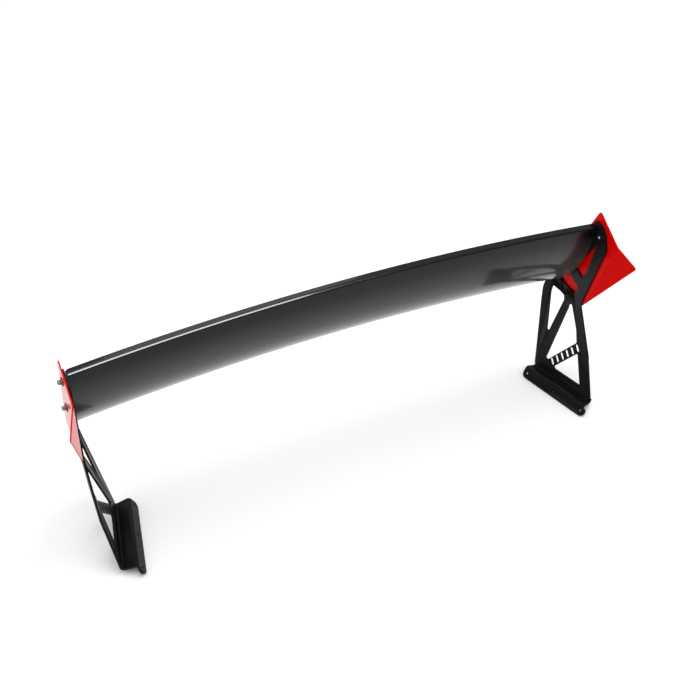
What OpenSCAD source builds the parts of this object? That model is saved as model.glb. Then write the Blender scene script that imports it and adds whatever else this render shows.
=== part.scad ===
// Racing rear wing: a bowed composite blade carried between two folded
// uprights with flared end plates. The wing stands on its foot flanges.
// +X runs along the span to the right, +Y forward, +Z up. The origin is on
// the floor, midway between the uprights.

/* [Blade] */
// Length of the blade between its two end faces
blade_span = 1274; // [1100:2:1500]
// Chord from the blunt trailing edge to the nose
chord = 260; // [240:1:270]
// Slope of the chord line below level, nose down
chord_angle = 59; // [57:0.5:61]
// Thickness of the section as a share of the chord
section_ratio = 0.12; // [0.11:0.005:0.13]
// Depth of the section's camber
camber = 24; // [20:1:28]
// Thickness of the blunt trailing edge
tail_thickness = 15; // [13:0.5:16]
// Rise of the blade's middle above its ends
bow = 29; // [20:1:36]
// Thickness of each moulded skin
skin = 2.2; // [1.8:0.1:2.6]
// Thickness of the end ribs
rib_width = 20; // [16:1:24]
// How far the trailing edge stands forward of the origin
tail_y = 0; // [-2:1:2]
// Height of the trailing edge above the floor
tail_z = 487; // [484:1:490]

/* [Uprights] */
// Sheet thickness of the uprights
upright_sheet = 5; // [4:0.5:6]
// Slope of the fold line across each upright
fold_slope = 40; // [38:0.5:42]
// Height at which the fold line crosses the trailing edge's plane
fold_z = 165; // [160:1:170]
// How far the lower half of the upright is bent inwards
fold_bend = 16.6; // [15:0.1:18]
// Length of the foot's shelf between its two bends
shelf_width = 36.3; // [32:0.1:40]
// Rise of the shelf from square with the upright
shelf_rise = 9.4; // [6:0.1:12]
// Width of the foot flange below its bend
flange_width = 29; // [27:0.5:32]
// Slope of the flange from square with the upright
flange_slope = 71.6; // [70:0.1:74]
// Spacing of the three holes in the flange
foot_pitch = 96; // [80:1:96]
// Diameter of the foot holes and the spare hole
hole_d = 6.6; // [6:0.1:7]

/* [End plates] */
// Sheet thickness of the end plates
plate_sheet = 3; // [2:0.5:4]
// How far the rear lower corner of each plate is flared outwards
flare_bend = 21; // [15:1:25]

/* [Fixings] */
// Width of the spacer washers between the blade and the uprights
spacer_width = 4.7; // [4.5:0.1:4.7]
// How far the blade turns each way on its front bolts
blade_swing = 2.5; // [2:0.1:2.5]
// Diameter of the wide washers
washer_d = 20; // [18:1:22]

/* [Hidden] */
$fn = 48;

// Stack at each end, outwards from the blade's end face
joint_gap = 0.3;
end_x = blade_span / 2;
upright_in = end_x + spacer_width + joint_gap;
upright_mid = upright_in + upright_sheet / 2;
plate_in = upright_in + upright_sheet;
plate_mid = plate_in + plate_sheet / 2;
plate_out = plate_in + plate_sheet;

// M6 fixings
shank_r = 3;
head_r = 5;
head_h = 6;
socket_af = 5;
socket_depth = 3;
bolt_length = 35;
washer_h = 1.6;
spring_washer_r = 5.9;
spacer_r = 6;
insert_r = 4.5;
insert_bore_r = 3.05;
pivot_bore_r = 3.05;
plate_bore_r = 3.3;
slot_r = 3.3;
washer_bore_r = 3.2;

// Bolt places in the blade's own frame: above the chord, then forward of the tail
front_bolt = [-23.3, 129.5];
rear_bolt = [-8, 22];
slot_radius = norm(rear_bolt - front_bolt);
slot_heading = atan2(rear_bolt[1] - front_bolt[1], rear_bolt[0] - front_bolt[0]);

// Bow of the blade as an arc
bow_r = (end_x * end_x + bow * bow) / (2 * bow);
bow_centre = bow_r - bow;
bow_sweep = 2 * asin((end_x + 10) / bow_r);
core_x = end_x - rib_width;

// Move of the finished pieces on to the floor
shift_y = -12;
lift = 5.23;

// Chordwise limits of the pieces inside the blade, forward of the tail
tail_end = 14;
rear_web = [60, 68];
main_web = [112, 152];
nose_start = 240;
web_wall = 3;
lip_width = 3.4;
lip_reach = 205;
rib_count = 7;
rib_pitch = 155;
rib_sheet = 3;

// Foot frame in the upright's flat blank
foot_y = -8;
foot_z = 3.5;
foot_half = 100;
foot_tilt = -atan(sin(fold_slope) * cos(fold_slope) * (1 - cos(fold_bend))
    / (cos(fold_bend) + pow(sin(fold_slope), 2) * (1 - cos(fold_bend))));
bend_r = 6;
foot_overlap = 9;
foot_hole_drop = 15.5;
foot_hole_shift = -8;

// Outlines in the flat blanks as [forward, up]
upright_outline = [
    [4, 499], [-20, 492], [-35, 480], [-43, 456], [-49, 436], [-36, 397], [7, 247],
    [-106, 14.4], [94.1, 10.3], [142, 196], [147.5, 222], [147.5, 243], [131, 263]
];
upright_corners = [12, 30, 30, 30, 20, 60, 25, 0, 0, 60, 40, 30, 6];
rear_window = [[-14, 442], [28, 372], [49, 339], [19, 321], [2, 357], [-5, 395]];
front_window = [[107, 280], [67, 318], [57, 304], [29, 292], [26, 284], [36, 266], [74, 268]];
nose_window = [[119, 243], [120, 224], [93, 120], [85, 120], [71, 222], [73, 237]];
middle_window = [[50, 223], [38, 229], [8, 174], [-9, 136], [59, 42], [67, 44]];
foot_window = [[33, 36], [28, 31], [-62, 33], [-23, 111]];
spare_hole = [-17, 461];

// Row of slots across the bar between the two lower windows
bar_start = [43, 46];
bar_end = [-16, 123];
bar_slots = 6;
slot_size = [9.5, 21];
slot_lean = 12;

plate_outline = [[0, 523], [-133, 423.5], [10, 237], [140, 256]];
plate_corners = [6, 6, 12, 12];
flare_top = [-78, 464.6];
flare_bottom = [-12, 277];

function unit(v) = v / norm(v);

// Arc of radius r that rounds the corner b between a and c
function corner_arc(a, b, c, r, steps) =
    let (
        u = unit(a - b),
        v = unit(c - b),
        half = acos(u * v) / 2,
        reach = r / tan(half),
        middle = b + unit(u + v) * r / sin(half),
        from = b + u * reach - middle,
        to = b + v * reach - middle,
        turn = acos(from * to / (r * r)),
        side = sign(from[0] * to[1] - from[1] * to[0])
    )
    [for (i = [0:steps])
        let (t = side * turn * i / steps)
        middle + [from[0] * cos(t) - from[1] * sin(t), from[0] * sin(t) + from[1] * cos(t)]];

// Closed outline with each corner rounded by its own radius
function rounded(points, radii, steps = 5) =
    let (n = len(points))
    [for (i = [0:n - 1])
        each (radii[i] == 0 ? [points[i]]
            : corner_arc(points[(i + n - 1) % n], points[i], points[(i + 1) % n], radii[i], steps))];

function same_radius(points, r) = rounded(points, [for (p = points) r]);

// Open strip of even thickness along a line with rounded bends
function strip(path, r, thickness) =
    let (
        last = len(path) - 1,
        line = concat([path[0]],
            [for (i = [1:last - 1]) each corner_arc(path[i - 1], path[i], path[i + 1], r, 6)],
            [path[last]]),
        n = len(line),
        aim = [for (i = [0:n - 1]) unit(line[min(i + 1, n - 1)] - line[max(i - 1, 0)])],
        side = [for (v = aim) [-v[1], v[0]] * thickness / 2]
    )
    concat([for (i = [0:n - 1]) line[i] + side[i]],
        [for (i = [n - 1:-1:0]) line[i] - side[i]]);

// Section of the blade as [above the chord, forward of the tail]; x runs nose to tail
function mean_line(x) = -4 * camber * x * (1 - x);
function half_depth(x) =
    5 * section_ratio * chord
        * (0.2969 * sqrt(x) - 0.126 * x - 0.3516 * x ^ 2 + 0.2843 * x ^ 3 - 0.1015 * x ^ 4)
    + tail_thickness / 2 * x;
function side_point(x, side) = [mean_line(x) + side * half_depth(x), chord * (1 - x)];

// Outline from the nose along the underside, up the tail and back over the top
steps = 20;
last_x = 0.955;
stations = [for (i = [0:steps]) last_x * (1 - cos(180 * i / steps * 0.62)) / (1 - cos(180 * 0.62))];
under_side = [for (x = stations) side_point(x, -1)];
top_side = [for (i = [steps:-1:1]) side_point(stations[i], 1)];
under_corner = corner_arc(side_point(last_x, -1), side_point(1, -1), side_point(1, 1), 4, 5);
top_corner = corner_arc(side_point(1, -1), side_point(1, 1), side_point(last_x, 1), 2.6, 4);
section = concat(under_side, under_corner, top_corner, top_side);
split = len(under_side) + len(under_corner);

// Outline moved inwards by depth
function inward(points, depth) =
    let (n = len(points))
    [for (i = [0:n - 1])
        let (v = unit(points[(i + 1) % n] - points[(i + n - 1) % n]))
        points[i] + depth * [-v[1], v[0]]];

function stretch(points, first, last) = [for (i = [first:last]) points[i % len(points)]];
function backwards(points) = [for (i = [len(points) - 1:-1:0]) points[i]];

// Places its children in the blade's frame: x above the chord, y along the span, z towards the nose
module blade_frame() {
    translate([0, tail_y, tail_z]) rotate([-(90 + chord_angle), 0, 0]) rotate([0, 0, -90]) children();
}

// Sweeps a chordwise outline along the bow between two places on the span
module swept(from_x, to_x) {
    blade_frame() intersection() {
        translate([-bow_centre, 0, 0]) rotate([0, 0, -bow_sweep / 2])
            rotate_extrude(angle = bow_sweep, $fn = 400) translate([bow_r, 0]) children();
        translate([-chord, from_x, -chord]) cube([3 * chord, to_x - from_x, 3 * chord]);
    }
}

// Outline of the space inside the skins between two chordwise limits
module inside(limits, wall = 0) {
    intersection() {
        polygon(inward(section, skin + wall));
        translate([-chord, limits[0] + wall]) square([2 * chord, limits[1] - limits[0] - 2 * wall]);
    }
}

// Cylinder along the span from one place to another, at a bolt's place on the section
module rod(place, r, from_x, to_x) {
    blade_frame() translate([place[0], from_x, place[1]]) rotate([-90, 0, 0])
        cylinder(r = r, h = to_x - from_x);
}

// Arc slot round the front bolt that the rear bolt moves in
module arc_slot(from_x, to_x) {
    blade_frame() translate([front_bolt[0], from_x, front_bolt[1]]) rotate([-90, 0, 0]) {
        for (turn = [-blade_swing, blade_swing])
            rotate([0, 0, -slot_heading + turn]) translate([slot_radius, 0, 0])
                cylinder(r = slot_r, h = to_x - from_x);
        rotate([0, 0, -slot_heading - blade_swing]) rotate_extrude(angle = 2 * blade_swing)
            translate([slot_radius - slot_r, 0]) square([2 * slot_r, to_x - from_x]);
    }
}

// Sheet drawn as [forward, up] and standing across the span, middle at x
module standing_sheet(x, thickness) {
    translate([x - thickness / 2, 0, 0]) rotate([90, 0, 90]) linear_extrude(thickness) children();
}

// Turns its children about the line through a point of a blank
module folded(x, point, slope, bend) {
    translate([x, point[0], point[1]]) rotate(a = bend, v = [0, cos(slope), sin(slope)])
        translate([-x, -point[0], -point[1]]) children();
}

// Half of the blank's plane on one side of a fold line
module half_plane(point, slope, above) {
    translate(point) rotate(slope) translate([-1000, above ? 0 : -1000]) square([2000, 1000]);
}

// A blank folded along one line: its fixed part, its turned part and the round bend between
module folded_sheet(x, thickness, point, slope, bend, bend_d) {
    standing_sheet(x, thickness) intersection() {
        children();
        half_plane(point, slope, true);
    }
    folded(x, point, slope, bend) standing_sheet(x, thickness) intersection() {
        children();
        half_plane(point, slope, false);
    }
    intersection() {
        translate([x, point[0], point[1]]) rotate([slope - 90, 0, 0])
            cylinder(d = bend_d, h = 1000, center = true);
        standing_sheet(x, thickness) children();
    }
}

module bar_slot_row() {
    step = (bar_end - bar_start) / (bar_slots - 1);
    slope = atan2(step[1], step[0]);
    size = slot_size / 2;
    for (i = [0:bar_slots - 1])
        translate(bar_start + i * step) rotate(slope + slot_lean)
            polygon(same_radius([[-size[0], -size[1]], [size[0], -size[1]],
                [size[0], size[1]], [-size[0], size[1]]], size[0] - 0.05));
}

module upright_blank() {
    difference() {
        polygon(rounded(upright_outline, upright_corners));
        polygon(rounded(rear_window, [2, 0, 3, 4, 20, 20]));
        polygon(rounded(front_window, [3, 3, 3, 3, 5, 3, 0]));
        polygon(rounded(nose_window, [3, 10, 3.5, 3.5, 6, 6]));
        polygon(rounded(middle_window, [4, 4, 20, 4, 3, 3]));
        polygon(rounded(foot_window, [2.5, 2, 3, 3]));
        bar_slot_row();
    }
}

// Shelf and flange in the foot's frame: x out, y along the bend, z up the upright
module foot() {
    shelf_end = shelf_width * [-cos(shelf_rise), sin(shelf_rise)];
    flange_aim = [-cos(flange_slope), -sin(flange_slope)];
    lip = 7;
    path = [[0, foot_overlap + 3], [0, 0], shelf_end, shelf_end + (lip + 2) * flange_aim];
    // The shelf's rear edge slants backwards from the upright to the flange
    heel = -foot_half - 9;
    footprint = [[20, foot_half + 1], [20, -foot_half], [0, -foot_half],
        [shelf_end[0] + 4, heel], [shelf_end[0] - 20, heel], [shelf_end[0] - 20, foot_half + 1]];
    intersection() {
        translate([0, foot_half, 0]) rotate([90, 0, 0])
            linear_extrude(2 * foot_half + 12) polygon(strip(path, bend_r, upright_sheet));
        translate([0, 0, -40]) linear_extrude(80) polygon(footprint);
    }
    // The flange carries on past the shelf at its rear end
    tail = -foot_half - 19;
    outline = [[foot_half, lip], [foot_half, flange_width], [tail, flange_width],
        [tail, 6], [heel + 1, 6], [heel + 1, lip]];
    translate([shelf_end[0], 0, shelf_end[1]]) rotate([0, -flange_slope, 0]) difference() {
        translate([0, 0, -upright_sheet / 2]) rotate([0, 0, 90]) linear_extrude(upright_sheet)
            polygon(rounded(outline, [0, 13, 13, 9, 0, 0]));
        for (i = [-1:1])
            translate([-foot_hole_drop, foot_hole_shift + i * foot_pitch, -upright_sheet])
                cylinder(d = hole_d, h = 2 * upright_sheet);
    }
}

module right_upright_body() {
    fold = [0, fold_z];
    difference() {
        union() {
            folded_sheet(upright_mid, upright_sheet, fold, fold_slope, fold_bend, upright_sheet)
                upright_blank();
            folded(upright_mid, fold, fold_slope, fold_bend)
                translate([upright_mid, foot_y, foot_z]) rotate([foot_tilt, 0, 0]) foot();
        }
        rod(front_bolt, pivot_bore_r, end_x, plate_out + 1);
        arc_slot(end_x, plate_out + 1);
        spare_bore();
    }
}

module spare_bore() {
    translate([end_x, spare_hole[0], spare_hole[1]]) rotate([0, 90, 0]) cylinder(d = hole_d, h = 30);
}

module right_end_plate_body() {
    run = flare_bottom - flare_top;
    slope = atan2(run[1], run[0]);
    difference() {
        folded_sheet(plate_mid, plate_sheet, flare_top, slope, -flare_bend, plate_sheet - 0.1)
            polygon(rounded(plate_outline, plate_corners));
        rod(front_bolt, plate_bore_r, end_x, plate_out + 1);
        arc_slot(end_x, plate_out + 1);
        spare_bore();
    }
}

// Row of thin ribs along the span, between two chordwise limits
module rib_row(limits) {
    for (i = [0:rib_count - 1])
        let (x = (i - (rib_count - 1) / 2) * rib_pitch)
            swept(x - rib_sheet / 2, x + rib_sheet / 2) inside(limits);
}

// Skin between two places of the section's outline
module skin_sweep(first, last) {
    outer = stretch(section, first, last);
    inner = stretch(inward(section, skin), first, last);
    swept(-end_x, end_x) polygon(concat(outer, backwards(inner)));
}

// Solid rib that closes the blade, with a lip that fills most of the gap to the upright
module right_end_rib_body() {
    difference() {
        union() {
            swept(core_x, end_x) polygon(inward(section, skin));
            swept(end_x - 1, end_x + lip_width) inside([0, lip_reach]);
        }
        for (place = [front_bolt, rear_bolt]) {
            rod(place, insert_r, core_x - 1, end_x);
            rod(place, spacer_r + 0.3, end_x, end_x + lip_width + 1);
        }
    }
}

// Ring along the span at a bolt's place, on the right-hand side
module ring(place, outer_r, bore_r, from_x, to_x) {
    difference() {
        rod(place, outer_r, from_x, to_x);
        rod(place, bore_r, from_x - 1, to_x + 1);
    }
}

// Socket-head bolt whose head starts at seat_x
module bolt(place, seat_x) {
    rod(place, shank_r, seat_x - bolt_length, seat_x + 1);
    difference() {
        rod(place, head_r, seat_x, seat_x + head_h);
        blade_frame() translate([place[0], seat_x + head_h - socket_depth, place[1]])
            rotate([-90, 0, 0]) cylinder(d = socket_af / cos(30), h = socket_depth + 1, $fn = 6);
    }
}

// The fixings at the right-hand end, in pairs, outwards from the blade
washer_seat = plate_out + joint_gap;
module right_insert_pair() {
    for (place = [front_bolt, rear_bolt])
        ring(place, insert_r, insert_bore_r, core_x, end_x);
}
module right_spacer_pair() {
    for (place = [front_bolt, rear_bolt])
        ring(place, spacer_r, washer_bore_r, end_x, end_x + spacer_width);
}
module right_wide_washer_pair() {
    for (place = [front_bolt, rear_bolt])
        ring(place, washer_d / 2, washer_bore_r, washer_seat, washer_seat + washer_h);
}
module right_spring_washer_pair() {
    for (place = [front_bolt, rear_bolt])
        ring(place, spring_washer_r, washer_bore_r, washer_seat + washer_h, washer_seat + 2 * washer_h);
}
module right_bolt_pair() {
    for (place = [front_bolt, rear_bolt])
        bolt(place, washer_seat + 2 * washer_h);
}

module left() {
    mirror([1, 0, 0]) children();
}

// Moves a finished piece so that the wing stands on the floor, centred front to back
module placed() {
    translate([0, shift_y, lift]) children();
}

module left_upright() { color("#1c1c1e") placed() left() right_upright_body(); }
module right_upright() { color("#1c1c1e") placed() right_upright_body(); }
module left_end_plate() { color("#d6120c") placed() left() right_end_plate_body(); }
module right_end_plate() { color("#d6120c") placed() right_end_plate_body(); }
module lower_skin() { color("#18181a") placed() skin_sweep(0, split); }
module upper_skin() { color("#18181a") placed() skin_sweep(split, len(section)); }
module nose_filler() { color("#8a8f86") placed() swept(-core_x, core_x) inside([nose_start, chord]); }
module tail_filler() { color("#8a8f86") placed() swept(-core_x, core_x) inside([0, tail_end]); }
module main_spar() {
    color("#b9a36a") placed() swept(-core_x, core_x) difference() {
        inside(main_web);
        inside(main_web, web_wall);
    }
}
module rear_spar() { color("#b9a36a") placed() swept(-core_x, core_x) inside(rear_web); }
module front_ribs() { color("#e8e2c8") placed() rib_row([main_web[1], nose_start]); }
module middle_ribs() { color("#e8e2c8") placed() rib_row([rear_web[1], main_web[0]]); }
module rear_ribs() { color("#e8e2c8") placed() rib_row([tail_end, rear_web[0]]); }
module left_end_rib() { color("#3a3a3c") placed() left() right_end_rib_body(); }
module right_end_rib() { color("#3a3a3c") placed() right_end_rib_body(); }
module left_inserts() { color("#c9a24a") placed() left() right_insert_pair(); }
module right_inserts() { color("#c9a24a") placed() right_insert_pair(); }
module left_spacers() { color("#dfe3ea") placed() left() right_spacer_pair(); }
module right_spacers() { color("#dfe3ea") placed() right_spacer_pair(); }
module left_bolts() { color("#c8cacc") placed() left() right_bolt_pair(); }
module right_bolts() { color("#c8cacc") placed() right_bolt_pair(); }
module left_wide_washers() { color("#d4d6d8") placed() left() right_wide_washer_pair(); }
module right_wide_washers() { color("#d4d6d8") placed() right_wide_washer_pair(); }
module left_spring_washers() { color("#c0c2c4") placed() left() right_spring_washer_pair(); }
module right_spring_washers() { color("#c0c2c4") placed() right_spring_washer_pair(); }

left_upright();
right_upright();
left_end_plate();
right_end_plate();
lower_skin();
upper_skin();
nose_filler();
tail_filler();
main_spar();
rear_spar();
front_ribs();
middle_ribs();
rear_ribs();
left_end_rib();
right_end_rib();
left_inserts();
right_inserts();
left_spacers();
right_spacers();
left_bolts();
right_bolts();
left_wide_washers();
right_wide_washers();
left_spring_washers();
right_spring_washers();
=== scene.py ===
import math

import bmesh
import bpy
from mathutils import Matrix, Vector


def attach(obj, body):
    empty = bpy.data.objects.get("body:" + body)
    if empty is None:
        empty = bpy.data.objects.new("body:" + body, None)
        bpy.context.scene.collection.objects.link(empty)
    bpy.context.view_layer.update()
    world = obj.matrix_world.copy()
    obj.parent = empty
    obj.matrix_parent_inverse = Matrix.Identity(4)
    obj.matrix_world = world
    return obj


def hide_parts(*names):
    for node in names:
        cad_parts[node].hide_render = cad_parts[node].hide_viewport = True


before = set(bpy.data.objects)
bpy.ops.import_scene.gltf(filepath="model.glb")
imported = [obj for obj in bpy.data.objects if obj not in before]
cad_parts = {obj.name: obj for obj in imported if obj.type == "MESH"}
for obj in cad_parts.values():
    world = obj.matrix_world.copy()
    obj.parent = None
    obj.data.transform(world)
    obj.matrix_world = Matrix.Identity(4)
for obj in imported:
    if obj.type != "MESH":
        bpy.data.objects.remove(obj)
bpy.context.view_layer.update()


# ---- Uprights ------------------------------------------------------------
# Two folded supports, cut from 5 mm steel sheet with triangular windows and a
# slotted bar, bent at the waist and the foot, then powder coated black. Their
# flanges bolt to the boot lid, and the blade's bolts go through their tops.

class Wire:
    """A socket in a node tree. Arithmetic on it adds Math nodes."""

    def __init__(self, tree, socket=None):
        self.tree = tree
        self.socket = socket

    def node(self, kind, settings=None, inputs=None, out=0):
        made = self.tree.nodes.new(kind)
        for key, value in (settings or {}).items():
            if key == "stops":
                ramp = made.color_ramp
                while len(ramp.elements) < len(value):
                    ramp.elements.new(1.0)
                for element, (place, shade) in zip(ramp.elements, value):
                    element.position = place
                    element.color = (shade, shade, shade, 1.0)
            else:
                setattr(made, key, value)
        for key, value in (inputs or {}).items():
            if isinstance(value, Wire):
                self.tree.links.new(value.socket, made.inputs[key])
            else:
                made.inputs[key].default_value = value
        return Wire(self.tree, made.outputs[out])

    def maths(self, operation, a, b=0.0):
        return self.node("ShaderNodeMath", {"operation": operation}, {0: a, 1: b})

    def __add__(self, other):
        return self.maths("ADD", self, other)

    def __radd__(self, other):
        return self.maths("ADD", other, self)

    def __sub__(self, other):
        return self.maths("SUBTRACT", self, other)

    def __rsub__(self, other):
        return self.maths("SUBTRACT", other, self)

    def __mul__(self, other):
        return self.maths("MULTIPLY", self, other)

    def __rmul__(self, other):
        return self.maths("MULTIPLY", other, self)

    def __truediv__(self, other):
        return self.maths("DIVIDE", self, other)

    def __pow__(self, other):
        return self.maths("POWER", self, other)

    def noise(self, scale, detail=2.0, stretch=(1, 1, 1)):
        """Noise over the piece, 0 to 1; scale is in cells to the metre."""
        place = self.node("ShaderNodeTexCoord", out=3)
        place = self.node("ShaderNodeMapping", {}, {"Vector": place, "Scale": stretch})
        return self.node("ShaderNodeTexNoise", {}, {
            "Vector": place, "Scale": scale, "Detail": detail})

    def ramp(self, *stops):
        """This value passed through (place, result) stops."""
        return self.node("ShaderNodeValToRGB", {"stops": stops}, {0: self})

    def tint(self, low, high):
        """Colour that runs from low to high as this value runs from 0 to 1."""
        ends = {0: self, 6: (*low, 1), 7: (*high, 1)}
        return self.node("ShaderNodeMix", {"data_type": "RGBA"}, ends, out=2)

    def bump(self, height, strength, distance):
        """A normal that follows a height; distance is its depth in metres."""
        return self.node("ShaderNodeBump", {}, {
            "Height": height, "Strength": strength, "Distance": distance})


def finish(name, constants):
    """A new material: its shader node, and a wire to build its patterns from."""
    material = bpy.data.materials.new(name)
    material.use_nodes = True
    shader = material.node_tree.nodes["Principled BSDF"]
    for key, value in constants.items():
        shader.inputs[key].default_value = value
    return material, shader, Wire(material.node_tree)


def feed(shader, name, wire):
    """Links a pattern to one of a shader's sockets."""
    wire.tree.links.new(wire.socket, shader.inputs[name])


def wear(material, piece):
    """Gives a piece one material all over."""
    piece.data.materials.clear()
    piece.data.materials.append(material)


MERGE_WITHIN = 1e-6
SAME_PLANE = math.radians(0.4)
SHARP_EDGE = math.radians(32)


def solid_copy(node, name, edge):
    """A merged copy of a CAD node with its sharp edges eased by a small round."""
    piece = bpy.data.objects.new(name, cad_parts[node].data.copy())
    bpy.context.scene.collection.objects.link(piece)
    shell = bmesh.new()
    shell.from_mesh(piece.data)
    bmesh.ops.remove_doubles(shell, verts=shell.verts, dist=MERGE_WITHIN)
    bmesh.ops.dissolve_limit(
        shell, angle_limit=SAME_PLANE, verts=shell.verts, edges=shell.edges)
    for face in shell.faces:
        face.smooth = True
    shell.to_mesh(piece.data)
    shell.free()
    ease = piece.modifiers.new("eased edges", "BEVEL")
    ease.width = edge
    ease.segments = 2
    ease.limit_method = "ANGLE"
    ease.angle_limit = SHARP_EDGE
    ease.use_clamp_overlap = True
    level = piece.modifiers.new("flat faces", "WEIGHTED_NORMAL")
    level.mode = "FACE_AREA"
    level.weight = 100
    bpy.context.view_layer.update()
    graph = bpy.context.evaluated_depsgraph_get()
    done = bpy.data.meshes.new_from_object(piece.evaluated_get(graph))
    piece.modifiers.clear()
    piece.data = done
    return piece


# The spare hole's wall is painted as near-white steel: a painted highlight that stands in for the light seen
# through the hole.
SPARE_HOLE_Y = -0.029
SPARE_HOLE_Z = 0.46623
SPARE_HOLE_REACH = 0.0042
UPRIGHT_EDGE = 0.0005

bright_bore, shader, wire = finish("steel bore painted bright", {"Metallic": 0.3})
scratches = wire.noise(900.0, 3.0, (0.2, 1.0, 1.0))
feed(shader, "Base Color", scratches.tint((0.72, 0.72, 0.72), (0.92, 0.92, 0.92)))
feed(shader, "Roughness", 0.30 + scratches * 0.2)

coat, shader, wire = finish("black powder coat", {"IOR": 1.5, "Specular IOR Level": 0.13})
patches = wire.noise(9.0, 4.0)
grain = wire.noise(1400.0, 1.0)
scuffs = wire.noise(160.0, 3.0, (1.0, 0.25, 0.06)).ramp((0.62, 0.0), (0.74, 1.0))
wear_marks = patches * 0.6 + scuffs * 0.4
feed(shader, "Base Color", wear_marks.tint((0.0030, 0.0028, 0.0034), (0.0080, 0.0074, 0.0086)))
feed(shader, "Roughness", 0.36 + patches * 0.10 + scuffs * 0.06)
feed(shader, "Normal", wire.bump(grain, 0.10, 0.0002))
for side in ("left", "right"):
    support = solid_copy(f"{side}_upright", f"{side}_upright_coated", UPRIGHT_EDGE)
    wear(coat, support)
    support.data.materials.append(bright_bore)
    # Faces round the spare hole take the bright bore paint, the hole's painted highlight.
    for face in support.data.polygons:
        away = math.hypot(face.center.y - SPARE_HOLE_Y, face.center.z - SPARE_HOLE_Z)
        if away < SPARE_HOLE_REACH:
            face.material_index = 1
    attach(support, "supports")
    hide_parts(f"{side}_upright")


# ---- End plates ----------------------------------------------------------
# A 3 mm plate outside each upright, glossy red on both faces, with its rear
# lower corner folded outwards. The blade's bolts clamp it to the upright.

PLATE_EDGE = 0.0004

red, shader, wire = finish("red gloss", {"IOR": 1.5, "Specular IOR Level": 0.04})
cloud = wire.noise(7.0, 3.0)
peel = wire.noise(420.0, 1.0)
feed(shader, "Base Color", cloud.tint((0.60, 0.0008, 0.0005), (0.67, 0.0014, 0.0010)))
feed(shader, "Roughness", 0.10 + cloud * 0.08)
feed(shader, "Normal", wire.bump(peel, 0.05, 0.0002))
for side in ("left", "right"):
    plate = solid_copy(f"{side}_end_plate", f"{side}_end_plate_glossy", PLATE_EDGE)
    wear(red, plate)
    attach(plate, "supports")
    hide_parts(f"{side}_end_plate")


# ---- Blade skins ---------------------------------------------------------
# Two moulded laminate skins, gel-coated black, bonded at the nose and along
# the blunt tail. The convex one faces down; both follow the blade's bow.

BLADE = {
    "Half span": 0.637, "Chord": 0.2596, "Section ratio": 0.12, "Camber": 0.024,
    "Tail thickness": 0.015, "Bow": 0.029, "Skin": 0.0022, "Slope": math.radians(59),
    "Tail forward": -0.012, "Tail height": 0.49223,
}
TAIL_ROUNDS = {"lower_skin": 0.0090, "upper_skin": 0.0024}
WAYS_OUT = {"lower_skin": -1.0, "upper_skin": 1.0}
STATIONS = 90
ALONG_SECTION = 220
ALONG_SPAN = 65
CRISP_CREASE = math.radians(40)


def tree_with(name, sockets):
    """A Geometry Nodes tree with these inputs, its wire, and each input by name."""
    tree = bpy.data.node_groups.new(name, "GeometryNodeTree")
    tree.interface.new_socket("Geometry", in_out="OUTPUT", socket_type="NodeSocketGeometry")
    for label, kind in sockets.items():
        tree.interface.new_socket(label, in_out="INPUT", socket_type=kind)
    entry = tree.nodes.new("NodeGroupInput")
    return tree, Wire(tree), {label: Wire(tree, entry.outputs[label]) for label in sockets}


def grow(tree, name, values):
    """Runs a tree on an empty object and returns the plain mesh as a new piece."""
    seed = bpy.data.objects.new(name, bpy.data.meshes.new(name))
    bpy.context.scene.collection.objects.link(seed)
    modifier = seed.modifiers.new("build", "NODES")
    modifier.node_group = tree
    for item in tree.interface.items_tree:
        if item.item_type == "SOCKET" and item.in_out == "INPUT" and item.name in values:
            modifier[item.identifier] = values[item.name]
    bpy.context.view_layer.update()
    graph = bpy.context.evaluated_depsgraph_get()
    made = bpy.data.meshes.new_from_object(seed.evaluated_get(graph))
    seed.modifiers.clear()
    seed.data = made
    return seed


def tidy_shell(piece, sharp):
    """Merges a piece's doubles, turns its faces outwards and keeps its creases crisp."""
    shell = bmesh.new()
    shell.from_mesh(piece.data)
    bmesh.ops.remove_doubles(shell, verts=shell.verts, dist=MERGE_WITHIN)
    bmesh.ops.recalc_face_normals(shell, faces=shell.faces)
    shell.to_mesh(piece.data)
    shell.free()
    for face in piece.data.polygons:
        face.use_smooth = True
    piece.data.set_sharp_from_angle(angle=sharp)


kinds = {label: "NodeSocketFloat" for label in BLADE}
tree, wire, given = tree_with("moulded skin", {
    **kinds, "Side": "NodeSocketFloat", "Corner radius": "NodeSocketFloat",
    "Finish": "NodeSocketMaterial"})
number = wire.node("GeometryNodeInputIndex")
at_tail = wire.maths("GREATER_THAN", number, STATIONS + 0.5)
turn = wire.maths("MINIMUM", number, STATIONS) * (math.pi / 2 / STATIONS)
x = 1 - wire.maths("COSINE", turn)
depth = (0.2969 * x ** 0.5 - 0.126 * x - 0.3516 * x ** 2 + 0.2843 * x ** 3 - 0.1015 * x ** 4)
half = 5 * given["Section ratio"] * given["Chord"] * depth + given["Tail thickness"] * x * 0.5
above = half * given["Side"] - 4 * given["Camber"] * x * (1 - x)
above = above * (1 - at_tail) + given["Tail thickness"] * 0.34 * at_tail
ahead = given["Chord"] * (1 - x)
line = wire.node("GeometryNodeMeshLine", {}, {"Count": STATIONS + 2})
line = wire.node("GeometryNodeSetPosition", {}, {
    "Geometry": line, "Position": wire.node("ShaderNodeCombineXYZ", {}, {1: ahead, 2: above})})
outline = wire.node("GeometryNodeMeshToCurve", {}, {0: line})
corner = wire.maths("COMPARE", number, STATIONS)
corner.socket.node.inputs[2].default_value = 0.5
outline = wire.node("GeometryNodeFilletCurve", {"mode": "POLY"}, {
    "Curve": outline, "Count": 8, "Radius": corner * given["Corner radius"]})
sheet = wire.node("GeometryNodeMeshGrid", {}, {
    "Size X": 1.0, "Size Y": 1.0, "Vertices X": ALONG_SECTION, "Vertices Y": ALONG_SPAN})
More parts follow.
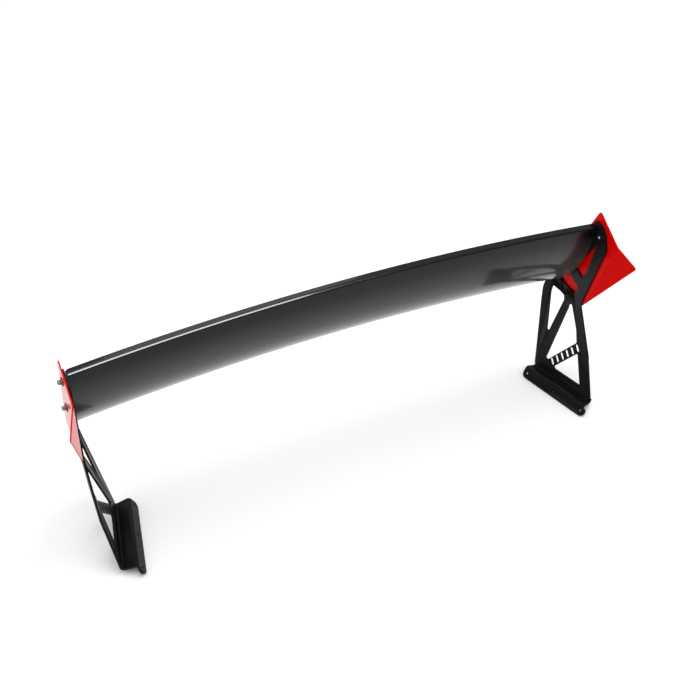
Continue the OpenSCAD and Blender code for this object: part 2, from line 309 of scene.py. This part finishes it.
place = wire.node("GeometryNodeInputPosition")
along = wire.node("ShaderNodeSeparateXYZ", {}, {0: place}, out=0) + 0.5
across = wire.node("ShaderNodeSeparateXYZ", {}, {0: place}, out=1) * 2 * given["Half span"]
sample = wire.node("GeometryNodeSampleCurve", {"mode": "FACTOR"}, {"Curves": outline, "Factor": along}, out=1)
ahead = wire.node("ShaderNodeSeparateXYZ", {}, {0: sample}, out=1)
above = wire.node("ShaderNodeSeparateXYZ", {}, {0: sample}, out=2)
arc = (given["Half span"] ** 2 + given["Bow"] ** 2) / (2 * given["Bow"])
raised = ((arc + above) ** 2 - across * across) ** 0.5 - arc + given["Bow"]
slope_sin = wire.maths("SINE", given["Slope"])
slope_cos = wire.maths("COSINE", given["Slope"])
forward = given["Tail forward"] + raised * slope_sin + ahead * slope_cos
height = given["Tail height"] + raised * slope_cos - ahead * slope_sin
sheet = wire.node("GeometryNodeSetPosition", {}, {
    "Geometry": sheet,
    "Position": wire.node("ShaderNodeCombineXYZ", {}, {0: across, 1: forward, 2: height})})
inner = wire.node("GeometryNodeExtrudeMesh", {"mode": "FACES"}, {
    "Mesh": sheet, "Offset Scale": given["Skin"] * given["Side"] * -1, "Individual": False})
shell = tree.nodes.new("GeometryNodeJoinGeometry")
tree.links.new(sheet.socket, shell.inputs[0])
tree.links.new(inner.socket, shell.inputs[0])
shell = wire.node("GeometryNodeMergeByDistance", {}, {
    "Geometry": Wire(tree, shell.outputs[0]), "Distance": 1e-5})
shell = wire.node("GeometryNodeRealizeInstances", {}, {0: shell})
shell = wire.node("GeometryNodeSetMaterial", {}, {"Geometry": shell, "Material": given["Finish"]})
tree.links.new(shell.socket, tree.nodes.new("NodeGroupOutput").inputs[0])

# The gel coat is glossy black. Its base colour is painted lighter low down towards the nose, a painted
# reflection of the floor in the underside; the haze noise varies that painted sheen, the coat and the
# roughness, and random specks dull it a little.
PAINTED_SHEEN_TOP = 0.47
PAINTED_SHEEN_FULL = 0.30

gel, shader, wire = finish("black gel coat", {
    "IOR": 1.5, "Specular IOR Level": 0.11, "Coat Roughness": 0.05})
haze = wire.noise(5.0, 4.0, (0.35, 1.0, 1.0))
swirl = wire.noise(240.0, 3.0, (0.05, 1.0, 1.0))
specks = wire.noise(1100.0, 0.0).ramp((0.74, 0.0), (0.80, 1.0))
place = wire.node("ShaderNodeTexCoord", out=3)
height = wire.node("ShaderNodeSeparateXYZ", {}, {0: place}, out=2)
# Painted reflection: the base colour lightens from nothing at 0.47 m high to full at 0.30 m high, standing in
# for the floor seen in the underside.
painted_sheen = height.ramp((PAINTED_SHEEN_FULL, 1.0), (PAINTED_SHEEN_TOP, 0.0)) * (0.75 + haze * 0.5)
specks_and_painted_sheen = painted_sheen + specks * 0.06
feed(shader, "Base Color", specks_and_painted_sheen.tint((0.0012, 0.0012, 0.0016), (0.085, 0.082, 0.078)))
feed(shader, "Coat Weight", 0.20 + haze * 0.08)
feed(shader, "Roughness", 0.13 + haze * 0.08 + swirl * 0.04)
feed(shader, "Normal", wire.bump(wire.noise(70.0, 1.0), 0.05, 0.0004))
for skin, way_out in WAYS_OUT.items():
    piece = grow(tree, f"{skin}_moulded", {
        **BLADE, "Side": way_out, "Corner radius": TAIL_ROUNDS[skin], "Finish": gel})
    tidy_shell(piece, CRISP_CREASE)
    wear(gel, piece)
    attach(piece, "blade")
    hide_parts(skin)


# ---- Inside of the blade -------------------------------------------------
# A box spar, a rear web and rows of thin ribs, all raw laminate, with bonding
# filler along both edges. The skins close over them, and a gel-coated rib
# closes each end.

laminate, shader, wire = finish("raw laminate", {"IOR": 1.5})
place = wire.node("ShaderNodeTexCoord", out=3)
weave = wire.node("ShaderNodeTexWave", {"bands_direction": "DIAGONAL"}, {
    "Vector": place, "Scale": 120.0, "Distortion": 0.4})
weave = wire.node("ShaderNodeSeparateXYZ", {}, {0: weave})
fuzz = wire.noise(600.0, 3.0)
feed(shader, "Base Color", (weave * 0.7 + fuzz * 0.3).tint((0.022, 0.022, 0.021), (0.065, 0.063, 0.058)))
feed(shader, "Roughness", 0.55 + fuzz * 0.25)
feed(shader, "Normal", wire.bump(weave, 0.35, 0.0003))
for node in ("main_spar", "rear_spar", "front_ribs", "middle_ribs", "rear_ribs"):
    wear(laminate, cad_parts[node])

paste, shader, wire = finish("bonding filler", {"IOR": 1.45})
lumps = wire.noise(120.0, 5.0)
feed(shader, "Base Color", lumps.tint((0.040, 0.042, 0.040), (0.095, 0.098, 0.092)))
feed(shader, "Roughness", 0.65 + lumps * 0.25)
feed(shader, "Normal", wire.bump(lumps, 0.4, 0.0006))
for node in ("nose_filler", "tail_filler"):
    wear(paste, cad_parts[node])
for node in ("left_end_rib", "right_end_rib"):
    wear(gel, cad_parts[node])


# ---- Threaded inserts ----------------------------------------------------
# Turned brass sleeves bonded into the end ribs. The bolts thread into them.

brass, shader, wire = finish("turned brass", {"Metallic": 1.0})
rings = wire.noise(2600.0, 1.0, (1.0, 0.02, 0.02))
tarnish = wire.noise(90.0, 3.0)
feed(shader, "Base Color", tarnish.tint((0.50, 0.36, 0.15), (0.66, 0.50, 0.24)))
feed(shader, "Roughness", 0.24 + tarnish * 0.18)
feed(shader, "Normal", wire.bump(rings, 0.2, 0.0001))
for side in ("left", "right"):
    wear(brass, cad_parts[f"{side}_inserts"])


# ---- Spacers, washers and bolts ------------------------------------------
# Stainless M6 fixings at each end: a spacer between blade and upright, then
# outside the plate a wide washer, a split spring washer and a cap-head bolt
# with a knurled head.

steel, shader, wire = finish("stainless steel", {"Metallic": 1.0})
turning = wire.noise(1800.0, 2.0, (1.0, 0.15, 0.15))
stain = wire.noise(160.0, 3.0)
feed(shader, "Base Color", stain.tint((0.17, 0.155, 0.15), (0.34, 0.32, 0.31)))
feed(shader, "Roughness", 0.20 + stain * 0.16)
feed(shader, "Normal", wire.bump(turning, 0.12, 0.0001))

# Each bolt's place, measured from the tail: down from the chord, then forward.
FRONT_BOLT = (0.0233, 0.1295)
REAR_BOLT = (0.008, 0.022)
slope = BLADE["Slope"]
tail = Vector((0, BLADE["Tail forward"], BLADE["Tail height"]))
upper_way = Vector((0, math.sin(slope), math.cos(slope)))
nose_way = Vector((0, math.cos(slope), -math.sin(slope)))
front_bolt = tail - FRONT_BOLT[0] * upper_way + FRONT_BOLT[1] * nose_way
rear_bolt = tail - REAR_BOLT[0] * upper_way + REAR_BOLT[1] * nose_way

PAIR = {"Front": "NodeSocketVector", "Rear": "NodeSocketVector", "Turn": "NodeSocketVector"}


def set_in_pairs(tree, wire, given, unit):
    """Puts one unit at each bolt and ends the tree."""
    step = wire.node("ShaderNodeVectorMath", {"operation": "SUBTRACT"}, {
        0: given["Rear"], 1: given["Front"]})
    points = wire.node("GeometryNodeMeshLine", {"mode": "OFFSET"}, {
        "Count": 2, "Start Location": given["Front"], "Offset": step})
    turn = wire.node("FunctionNodeEulerToRotation", {}, {0: given["Turn"]})
    units = wire.node("GeometryNodeInstanceOnPoints", {}, {
        "Points": points, "Instance": unit, "Rotation": turn})
    units = wire.node("GeometryNodeRealizeInstances", {}, {0: units})
    units = wire.node("GeometryNodeSetMaterial", {}, {
        "Geometry": units, "Material": given["Finish"]})
    tree.links.new(units.socket, tree.nodes.new("NodeGroupOutput").inputs[0])


ring_tree, wire, given = tree_with("washer pair", {
    **PAIR, "Outer": "NodeSocketFloat", "Bore": "NodeSocketFloat", "Thickness": "NodeSocketFloat",
    "Gap": "NodeSocketFloat", "Edge": "NodeSocketFloat", "Finish": "NodeSocketMaterial"})
section = wire.node("GeometryNodeCurvePrimitiveQuadrilateral", {}, {
    "Width": given["Outer"] - given["Bore"], "Height": given["Thickness"]})
section = wire.node("GeometryNodeFilletCurve", {"mode": "POLY"}, {
    "Curve": section, "Count": 3, "Radius": given["Edge"]})
path = wire.node("GeometryNodeCurveArc", {"mode": "RADIUS"}, {
    "Resolution": 97, "Radius": (given["Outer"] + given["Bore"]) * 0.5,
    "Sweep Angle": 2 * math.pi - given["Gap"]})
ring = wire.node("GeometryNodeCurveToMesh", {}, {
    "Curve": path, "Profile Curve": section, "Fill Caps": True})
set_in_pairs(ring_tree, wire, given, ring)

bolt_tree, wire, given = tree_with("bolt pair", {
    **PAIR, "Head": "NodeSocketObject", "Shank": "NodeSocketFloat", "Length": "NodeSocketFloat",
    "Pitch": "NodeSocketFloat", "Finish": "NodeSocketMaterial"})
head = wire.node("GeometryNodeObjectInfo", {}, {"Object": given["Head"]}, out=4)
core = wire.node("GeometryNodeMeshCylinder", {}, {
    "Vertices": 32, "Radius": given["Shank"] - given["Pitch"] * 0.6, "Depth": given["Length"]})
core = wire.node("GeometryNodeTransform", {}, {
    "Geometry": core, "Translation": wire.node("ShaderNodeCombineXYZ", {}, {2: given["Length"] * -0.5})})
crest = wire.node("GeometryNodeCurvePrimitiveQuadrilateral", {}, {
    "Width": given["Pitch"] * 0.75, "Height": given["Pitch"] * 0.75})
crest = wire.node("GeometryNodeTransform", {}, {"Geometry": crest, "Rotation": (0, 0, math.radians(45))})
thread_radius = given["Shank"] - given["Pitch"] * 0.56
helix = wire.node("GeometryNodeCurveSpiral", {}, {
    "Resolution": 24, "Rotations": given["Length"] / given["Pitch"] - 2,
    "Start Radius": thread_radius, "End Radius": thread_radius,
    "Height": given["Length"] - 2 * given["Pitch"]})
helix = wire.node("GeometryNodeTransform", {}, {
    "Geometry": helix,
    "Translation": wire.node("ShaderNodeCombineXYZ", {}, {2: given["Pitch"] - given["Length"]})})
thread = wire.node("GeometryNodeCurveToMesh", {}, {
    "Curve": helix, "Profile Curve": crest, "Fill Caps": True})
whole_bolt = bolt_tree.nodes.new("GeometryNodeJoinGeometry")
for part in (head, core, thread):
    bolt_tree.links.new(part.socket, whole_bolt.inputs[0])
set_in_pairs(bolt_tree, wire, given, Wire(bolt_tree, whole_bolt.outputs[0]))

HEAD_RADIUS = 0.005
HEAD_HEIGHT = 0.006
SOCKET_HALF = 0.0025
SOCKET_DEPTH = 0.003
KNURL = 0.00012
SIDES = 96
head_shell = bmesh.new()


def head_ring(radius, height, hexagon=0.0, knurl=0.0):
    """One ring of the head's shell: round, or drawn towards a hexagon."""
    ring = []
    for i in range(SIDES):
        angle = 2 * math.pi * i / SIDES
        flat = radius / math.cos((angle + math.pi / 6) % (math.pi / 3) - math.pi / 6)
        reach = radius + hexagon * (flat - radius) - (knurl if i % 2 else 0.0)
        ring.append(head_shell.verts.new((reach * math.cos(angle), reach * math.sin(angle), height)))
    return ring


rings = [
    head_ring(0.0026, 0.0),
    head_ring(HEAD_RADIUS - 0.0003, 0.0),
    head_ring(HEAD_RADIUS, 0.0003, knurl=KNURL),
    head_ring(HEAD_RADIUS, HEAD_HEIGHT - 0.0011, knurl=KNURL),
    head_ring(HEAD_RADIUS - 0.00025, HEAD_HEIGHT - 0.0008),
    head_ring(HEAD_RADIUS - 0.0008, HEAD_HEIGHT - 0.0001),
    head_ring(HEAD_RADIUS - 0.0011, HEAD_HEIGHT),
    head_ring(SOCKET_HALF + 0.0004, HEAD_HEIGHT, 0.6),
    head_ring(SOCKET_HALF, HEAD_HEIGHT - 0.0003, 1.0),
    head_ring(SOCKET_HALF, HEAD_HEIGHT - SOCKET_DEPTH, 1.0),
]
for low, high in zip(rings, rings[1:]):
    for i in range(SIDES):
        j = (i + 1) % SIDES
        head_shell.faces.new((low[i], low[j], high[j], high[i]))
head_shell.faces.new(rings[-1])
head_shell.faces.new(list(reversed(rings[0])))
head_mesh = bpy.data.meshes.new("cap head")
head_shell.to_mesh(head_mesh)
head_shell.free()
# The bolt tree reads this object's mesh; it is in no scene itself.
cap_head = bpy.data.objects.new("cap head", head_mesh)

# Distances from the middle of the car: the bolt heads' undersides, and the
# middles of the washers and spacers.
UNDER_HEAD = 0.6535
SPRING_AT = UNDER_HEAD - 0.0008
WIDE_AT = UNDER_HEAD - 0.0024
SPACER_AT = 0.63935
STEEL_CREASE = math.radians(35)
THREAD = {"Shank": 0.003, "Length": 0.035, "Pitch": 0.001}
WIDE = {"Outer": 0.010, "Bore": 0.0032, "Thickness": 0.0016, "Gap": 0.0, "Edge": 0.00025}
SPLIT = {"Outer": 0.0059, "Bore": 0.0032, "Thickness": 0.0016, "Gap": 0.25, "Edge": 0.0002}
SPACER = {"Outer": 0.006, "Bore": 0.0032, "Thickness": 0.0047, "Gap": 0.0, "Edge": 0.0003}


def pair_places(side, stand_off):
    """Places and turn of a unit whose own +Z points outwards from the blade."""
    way = 1 if side == "right" else -1
    return {
        "Front": (way * stand_off, front_bolt.y, front_bolt.z),
        "Rear": (way * stand_off, rear_bolt.y, rear_bolt.z),
        "Turn": (0.0, way * math.pi / 2, 0.0), "Finish": steel}


def fit(side, node, tree, values):
    """Makes one end's pair of like fixings and puts them on the blade."""
    piece = grow(tree, f"{side}_{node}_steel", values)
    tidy_shell(piece, STEEL_CREASE)
    wear(steel, piece)
    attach(piece, "blade")
    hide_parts(f"{side}_{node}")


for side in ("left", "right"):
    fit(side, "spacers", ring_tree, {**SPACER, **pair_places(side, SPACER_AT)})
    fit(side, "wide_washers", ring_tree, {**WIDE, **pair_places(side, WIDE_AT)})
    fit(side, "spring_washers", ring_tree, {**SPLIT, **pair_places(side, SPRING_AT)})
    fit(side, "bolts", bolt_tree, {
        "Head": cap_head, **THREAD, **pair_places(side, UNDER_HEAD)})


# ---- Studio --------------------------------------------------------------
# A plain white floor in a white room with a broad panel overhead. The front
# panel only puts a gloss line on the blade's tail. A long lens looks down on
# the wing from the rear left.

floor_mesh = bpy.data.meshes.new("floor")
reach = 30.0
floor_mesh.from_pydata(
    [(-reach, -reach, 0), (reach, -reach, 0), (reach, reach, 0), (-reach, reach, 0)], [], [(0, 1, 2, 3)])
floor = bpy.data.objects.new("floor", floor_mesh)
bpy.context.scene.collection.objects.link(floor)
pale, shader, wire = finish("pale floor", {"Roughness": 0.9, "Specular IOR Level": 0.1})
feed(shader, "Base Color", wire.noise(1.5, 2.0).tint((0.93, 0.93, 0.93), (0.95, 0.95, 0.95)))
wear(pale, floor)


def panel(name, place, aim, width, depth, power):
    """A rectangular light at a place, facing its aim; power is in watts."""
    lamp = bpy.data.lights.new(name, "AREA")
    lamp.shape = "RECTANGLE"
    lamp.size = width
    lamp.size_y = depth
    lamp.energy = power
    holder = bpy.data.objects.new(name, lamp)
    bpy.context.scene.collection.objects.link(holder)
    look = (Vector(aim) - Vector(place)).to_track_quat("-Z", "Y")
    holder.matrix_world = Matrix.Translation(place) @ look.to_matrix().to_4x4()
    return holder


gleam = panel("front panel", (-0.1, -2.6, 2.1), (-0.1, 0, 0.48), 2.2, 1.9, 620)
gleam.data.color = (0.84, 0.88, 1.0)
gleam.visible_diffuse = False
gleam.light_linking.receiver_collection = bpy.data.collections.new("lit by the front panel")
for skin in ("lower_skin_moulded", "upper_skin_moulded"):
    gleam.light_linking.receiver_collection.objects.link(bpy.data.objects[skin])
panel("overhead panel", (0.3, -0.2, 2.5), (0, 0, 0), 2.6, 0.9, 22)

room = bpy.data.worlds.new("white room")
room.use_nodes = True
air = Wire(room.node_tree)
way = air.node("ShaderNodeTexCoord")
rise = air.node("ShaderNodeSeparateXYZ", {}, {0: way}, out=2)
# The room is darker low down, so that gloss keeps its depth, but the backdrop
# itself is plain white.
ROOM_LIGHT = 1.27
BACKDROP = 1.05
glow = rise.ramp((0.0, 0.10), (0.25, 0.22), (0.60, 1.0))
seen = air.node("ShaderNodeLightPath")
glow = glow * ROOM_LIGHT * (1 - seen) + seen * BACKDROP
room.node_tree.links.new(glow.socket, room.node_tree.nodes["Background"].inputs["Strength"])
room.node_tree.nodes["Background"].inputs["Color"].default_value = (1, 1, 1, 1)
bpy.context.scene.world = room
bpy.context.scene.view_settings.view_transform = "Standard"

lens = bpy.data.cameras.new("camera")
lens.sensor_width = 36.0
lens.lens = 49.02
camera = bpy.data.objects.new("camera", lens)
bpy.context.scene.collection.objects.link(camera)
yaw = math.radians(26.20)
pitch = math.radians(37.717)
camera.location = (-0.7795, -1.5508, 1.6632)
camera.rotation_euler = (math.pi / 2 - pitch, 0, -yaw)
bpy.context.scene.camera = camera
